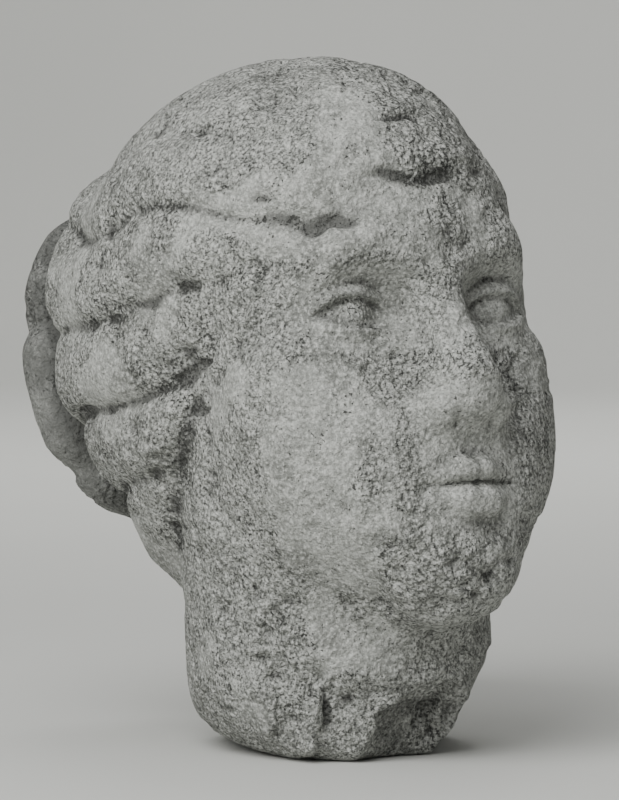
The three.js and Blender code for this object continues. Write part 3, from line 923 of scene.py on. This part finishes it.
# size of the unevenness of the painted shade over the chignon
CHIGNON_SHADE_SCALE = 70
MOTTLE_SCALE = 130
# size of the unevenness of the dirt and painted shade
DIRT_AND_SHADE_SCALE = 260
LUMP_SCALE = 290
CRUMB_SCALE = 430
GRAIN_SCALE = 720
PIT_SCALE = 760
FINE_GRAIN_SCALE = 1700

# How strongly the patterns show
MOTTLE_SHARE = 0.6
# how strongly the painted shade inside the pits shows
PIT_SHADE_SHARE = 0.85
FLAKE_SHARE = 0.25
STRAND_SHARE = 0.15
# how unevenly the dirt and painted shade lie
DIRT_AND_SHADE_UNEVENNESS = 2.2

# How high the fine relief stands in the material, in millimetres
GRAIN_HEIGHT = 0.7
CRUMB_HEIGHT = 1.6
PIT_HEIGHT = 1.2
STRAND_HEIGHT = 0.4
FRESH_LUMPS = 2.2
WEATHERED_LUMPS = 4.6


def stone():
    """The weathered stone's material."""
    n = Nodes("weathered_stone")
    place = n.add("ShaderNodeTexCoord").outputs["Object"]
    sunk = n.mark("sunk")
    fresh = n.mark("fresh")
    # broad patches and a paler mottle
    patch = n.spread(n.noise(place, PATCH_SCALE, 4, 0.6), 0.36, 0.64)
    colour = n.mix(patch, MIDDLE_PATCH, LIGHT_PATCH)
    mottle = n.spread(n.noise(place, MOTTLE_SCALE, 4, 0.7), 0.42, 0.62)
    colour = n.mix(n.scaled(mottle, MOTTLE_SHARE), colour, MOTTLE)
    # grains: pale crumbs and dark gaps of about a millimetre
    grain = n.noise(place, GRAIN_SCALE, 2, 0.65)
    fine_grain = n.noise(place, FINE_GRAIN_SCALE, 2, 0.6)
    colour = n.mix(n.spread(grain, 0.52, 0.68, 0.0, 0.6), colour, CRUMB)
    gap = n.spread(n.maths("ADD", grain, n.scaled(fine_grain, 0.6)), 0.84, 0.62)
    colour = n.mix(n.maths("MULTIPLY", gap, n.spread(fresh, 0.0, 1.0, 0.85, 0.4)), colour, GAP)
    # dark pits whose colour is painted shade inside them; they gather in some places, and in the hollows as
    # painted shade
    cluster = n.spread(n.noise(place, CLUSTER_SCALE, 4, 0.65), 0.44, 0.68, 0.0, 0.09)
    hollow_shade = n.spread(sunk, 0.1, 1.3, 0.0, 0.085)
    gathered = n.maths("SUBTRACT", n.maths("ADD", cluster, hollow_shade), n.scaled(fresh, 0.05))
    pit = n.spread(n.maths("SUBTRACT", n.noise(place, PIT_SCALE, 3, 0.6), gathered), 0.37, 0.29)
    colour = n.mix(n.scaled(pit, PIT_SHADE_SHARE), colour, PIT_SHADE)
    # dirt and painted shade keep in the hollows, creases and dents, unevenly
    uneven = n.scaled(n.noise(place, DIRT_AND_SHADE_SCALE, 4, 0.7), DIRT_AND_SHADE_UNEVENNESS)
    uneven = n.maths("ADD", sunk, uneven)
    colour = n.mix(n.spread(uneven, 1.25, 2.6, 0.0, 0.8), colour, DIRT_AND_SHADE)
    # painted shade: the chignon is darker than the rest, most of all just past its seam
    darker = n.spread(n.noise(place, CHIGNON_SHADE_SCALE, 3, 0.6), 0.35, 0.6, 0.55, 0.8)
    darker = n.maths("MULTIPLY", n.mark("chignon_shade"), darker)
    colour = n.mix(darker, colour, DARKER_TONE)
    # the face of the large flake on the neck takes a darker tone as well
    colour = n.mix(n.scaled(n.mark("flaked"), FLAKE_SHARE), colour, DARKER_TONE)
    # fine strands of hair beside the chignon's rim
    across = n.maths("COSINE", n.scaled(n.mark("strand_turn"), 2.0), 0.0)
    strand = n.maths("MULTIPLY", n.spread(across, 0.3, 1.0), n.mark("strand_reach"))
    colour = n.mix(n.scaled(strand, STRAND_SHARE), colour, STRAND)
    n.link(colour, n.shader.inputs["Base Color"])
    n.shader.inputs["Roughness"].default_value = 0.95
    n.shader.inputs["Specular IOR Level"].default_value = 0.2
    # fine relief: lumps and grain everywhere, crumbs where the stone is weathered
    weathered = n.spread(fresh, 0.0, 0.8, 1.0, 0.2)
    crumbly = n.spread(n.noise(place, CRUMBLY_SCALE, 3, 0.6), 0.4, 0.6, 0.35, 1.0)
    crumbly = n.maths("MULTIPLY", weathered, crumbly)
    lump_height = n.spread(weathered, 0.2, 1.0, FRESH_LUMPS, WEATHERED_LUMPS)
    height = n.maths("MULTIPLY", n.noise(place, LUMP_SCALE, 2, 0.55), lump_height)
    height = n.maths("ADD", height, n.scaled(grain, GRAIN_HEIGHT))
    crumbs = n.maths("MULTIPLY", n.crumbs(place, CRUMB_SCALE), crumbly)
    for hollowed, depth in ((crumbs, CRUMB_HEIGHT), (pit, PIT_HEIGHT), (strand, STRAND_HEIGHT)):
        height = n.maths("SUBTRACT", height, n.scaled(hollowed, depth))
    relief_bump = n.add("ShaderNodeBump")
    relief_bump.inputs["Strength"].default_value = 1.0
    relief_bump.inputs["Distance"].default_value = MM
    n.link(height, relief_bump.inputs["Height"])
    n.link(relief_bump.outputs["Normal"], n.shader.inputs["Normal"])
    return n.material


# The photograph's frame, and the view from the head's right front.
FRAME_WIDTH = 619
FRAME_HEIGHT = 800
MM_PER_PIXEL = 0.4
FOOT_PIXEL = (340, 747)
VIEW_TURN = -33
VIEW_AZIMUTH = math.radians(VIEW_TURN)
VIEW_ELEVATION = math.radians(3)
VIEW_DISTANCE = 2000 * MM
SENSOR = 36.0


def view_axes(azimuth, elevation):
    """Unit vectors from the object to the eye, to the right and up in the picture."""
    level = math.cos(elevation)
    back = np.array([math.sin(azimuth) * level, -math.cos(azimuth) * level, math.sin(elevation)])
    right = np.array([math.cos(azimuth), math.sin(azimuth), 0.0])
    return back, right, np.cross(back, right)


def place_camera():
    """The camera of the photograph."""
    back, right, up = view_axes(VIEW_AZIMUTH, VIEW_ELEVATION)
    pixel = MM_PER_PIXEL * MM
    lift = (FOOT_PIXEL[1] - FRAME_HEIGHT / 2) * pixel
    shift = (FOOT_PIXEL[0] - FRAME_WIDTH / 2) * pixel
    target = up * lift - right * shift
    data = bpy.data.cameras.new("view")
    data.sensor_fit = "VERTICAL"
    data.sensor_height = SENSOR
    data.lens = SENSOR * VIEW_DISTANCE / (FRAME_HEIGHT * pixel)
    data.clip_end = 20
    camera = bpy.data.objects.new("view", data)
    bpy.context.scene.collection.objects.link(camera)
    camera.location = target + back * VIEW_DISTANCE
    camera.rotation_euler = (math.pi / 2 - VIEW_ELEVATION, 0, VIEW_AZIMUTH)
    bpy.context.scene.camera = camera


def lamp(name, azimuth, elevation, distance, size, power, aim, spread):
    """A soft square light, which shines on a point from that direction."""
    back, _, _ = view_axes(math.radians(azimuth), math.radians(elevation))
    data = bpy.data.lights.new(name, "AREA")
    data.shape = "SQUARE"
    data.size = size
    data.energy = power
    data.spread = math.radians(spread)
    light = bpy.data.objects.new(name, data)
    bpy.context.scene.collection.objects.link(light)
    light.location = aim + back * distance
    light.rotation_euler = (math.pi / 2 - math.radians(elevation), 0, math.radians(azimuth))


WALL_DISTANCE = 3.7
WALL_HEIGHT = 5.0
WALL_BEND = 0.8  # radius of the curve between the floor and the wall
WALL_HALF_WIDTH = 6
BEND_STEPS = 12
BACKDROP_TONE = (0.6, 0.605, 0.575)
PALE_BACKDROP_TONE = (0.64, 0.645, 0.613)


def backdrop():
    """A pale floor that curves up into a wall behind the head, as seen from the camera."""
    back, right, _ = view_axes(VIEW_AZIMUTH, 0)
    profile = [(2 * WALL_DISTANCE, 0.0)]
    for i in range(BEND_STEPS + 1):
        turn = math.radians(90 / BEND_STEPS * i)
        towards = WALL_BEND - WALL_DISTANCE - WALL_BEND * math.sin(turn)
        profile.append((towards, WALL_BEND - WALL_BEND * math.cos(turn)))
    profile.append((-WALL_DISTANCE, WALL_HEIGHT))
    vertices = []
    for towards, up in profile:
        for side in (-WALL_HALF_WIDTH, WALL_HALF_WIDTH):
            vertices.append((*(back * towards + right * side)[:2], up))
    faces = [(2 * i, 2 * i + 1, 2 * i + 3, 2 * i + 2) for i in range(len(profile) - 1)]
    mesh = bpy.data.meshes.new("backdrop")
    mesh.from_pydata(vertices, [], faces)
    mesh.polygons.foreach_set("use_smooth", [True] * len(faces))
    piece = bpy.data.objects.new("backdrop", mesh)
    bpy.context.scene.collection.objects.link(piece)
    paper = Nodes("pale_paper")
    place = paper.add("ShaderNodeTexCoord").outputs["Object"]
    tone = paper.mix(paper.noise(place, 3, 2, 0.5), BACKDROP_TONE, PALE_BACKDROP_TONE)
    paper.link(tone, paper.shader.inputs["Base Color"])
    paper.shader.inputs["Roughness"].default_value = 0.9
    mesh.materials.append(paper.material)


# Each lamp's turn from the view and elevation in degrees, distance, size and power, then the place that it
# shines on, as a share of the way to the wall and a height, and its spread in degrees
LAMPS = (
    ("key", -29, 39, 1.7, 1.4, 33, 0, 0.15, 180),
    ("fill", -48, 4, 1.6, 1.2, 5, 0, 0.15, 180),
    ("top", -10, 80, 1.6, 1.4, 4, 0, 0.15, 180),
    ("wall", 14, 36, 2.2, 1.6, 24, 1, 0.5, 180),
    ("floor", 30, 84, 2.2, 1.2, 8, 0.4, 0, 100),
)
WORLD_LIGHT = 0.22


def studio():
    """The backdrop and the light."""
    backdrop()
    behind = -WALL_DISTANCE * view_axes(VIEW_AZIMUTH, 0)[0]
    for name, turn, elevation, distance, size, power, share, height, spread in LAMPS:
        aim = share * behind + np.array((0, 0, height))
        lamp(name, VIEW_TURN + turn, elevation, distance, size, power, aim, spread)
    world = bpy.data.worlds.new("studio")
    world.use_nodes = True
    world.node_tree.nodes["Background"].inputs["Color"].default_value = (1, 1, 1, 1)
    world.node_tree.nodes["Background"].inputs["Strength"].default_value = WORLD_LIGHT
    bpy.context.scene.world = world


head_piece = build_head()
head_piece.data.materials.append(stone())
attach(head_piece, "root")
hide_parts("carved_head")

place_camera()
studio()
